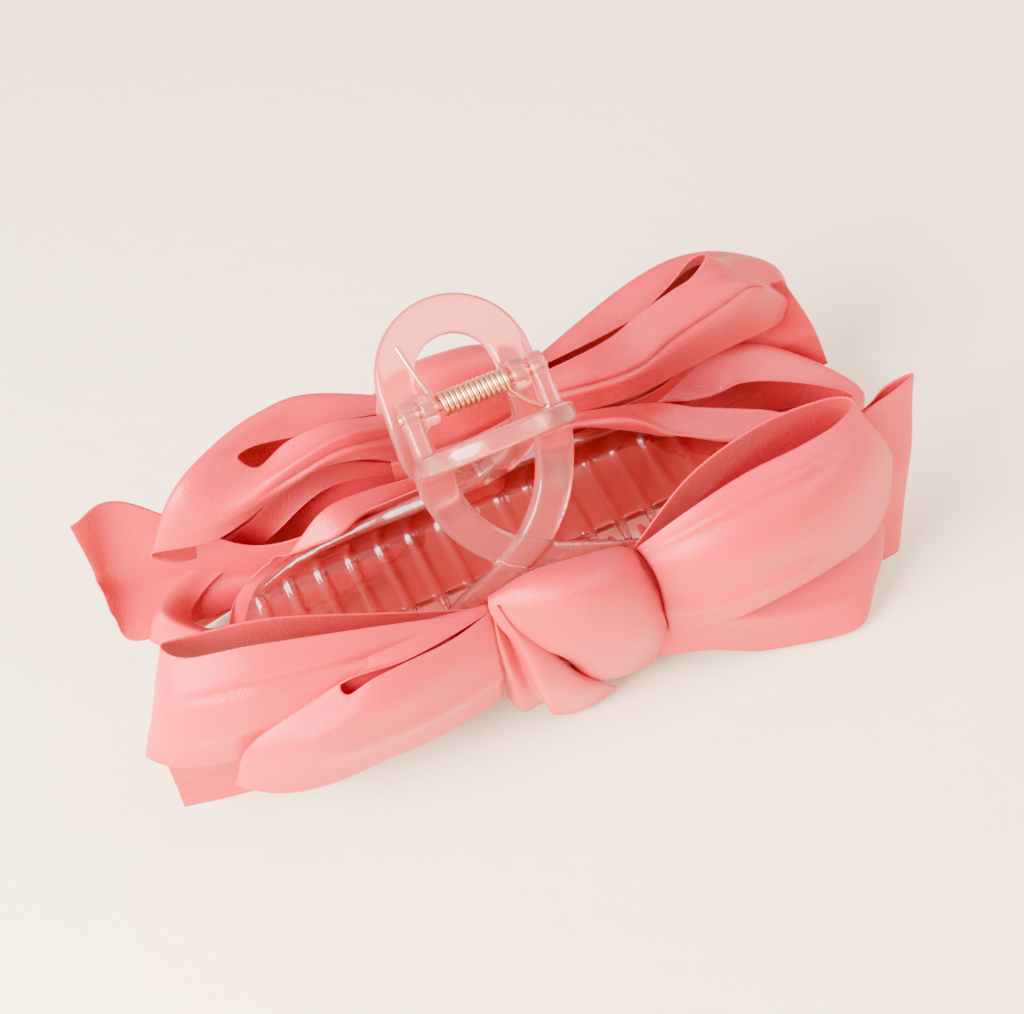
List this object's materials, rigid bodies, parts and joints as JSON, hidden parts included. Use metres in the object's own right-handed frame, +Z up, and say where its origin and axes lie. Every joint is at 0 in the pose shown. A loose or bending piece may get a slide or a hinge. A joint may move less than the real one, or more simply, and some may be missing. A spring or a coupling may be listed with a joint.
{
  "type": "claw hair clip",
  "caption": "Sprung claw hair clip in translucent pink plastic with ring handles, interlocking teeth and a coral satin ribbon bow on each jaw.",
  "frame": {"origin": "middle of the hinge pin's axis", "axes": "+X along the hinge pin, -Y towards the front jaw and its bow, +Z up from the comb to the handles"},
  "size_m": [0.1608, 0.0802, 0.0681],
  "materials": {
    "pink_plastic": "polished translucent milky pink moulding",
    "copper_wire": "bright rose-gold plated wire",
    "satin_ribbon": "coral pink satin with fine weave and soft sheen",
    "tie_thread": "white sewing thread",
    "felt_pad": "pale pink felt"
  },
  "bodies": {
    "back_half": {"back_jaw": "pink_plastic", "hinge_pin": "copper_wire", "torsion_spring": "copper_wire", "back_bow_knot": "satin_ribbon", "back_bow_gather": "satin_ribbon", "back_bow_thread": "tie_thread", "back_bow_pad": "felt_pad", "back_bow_left_upper_loop": "satin_ribbon", "back_bow_left_lower_loop": "satin_ribbon", "back_bow_right_upper_loop": "satin_ribbon", "back_bow_right_lower_loop": "satin_ribbon", "back_bow_left_tail": "satin_ribbon", "back_bow_right_tail": "satin_ribbon"},
    "front_half": {"front_jaw": "pink_plastic", "spring_front_leg": "copper_wire", "front_bow_knot": "satin_ribbon", "front_bow_gather": "satin_ribbon", "front_bow_thread": "tie_thread", "front_bow_pad": "felt_pad", "front_bow_left_upper_loop": "satin_ribbon", "front_bow_left_lower_loop": "satin_ribbon", "front_bow_right_upper_loop": "satin_ribbon", "front_bow_right_lower_loop": "satin_ribbon", "front_bow_left_tail": "satin_ribbon", "front_bow_right_tail": "satin_ribbon"}
  },
  "joints": [
    {"name": "jaw_hinge", "type": "hinge", "parent": "back_half", "child": "front_half", "pos_m": [0, 0, 0], "axis": [-1, 0, 0], "range_deg": [0, 40], "stiffness_Nm_per_rad": 0.12, "springref_deg": -40.11}
  ]
}
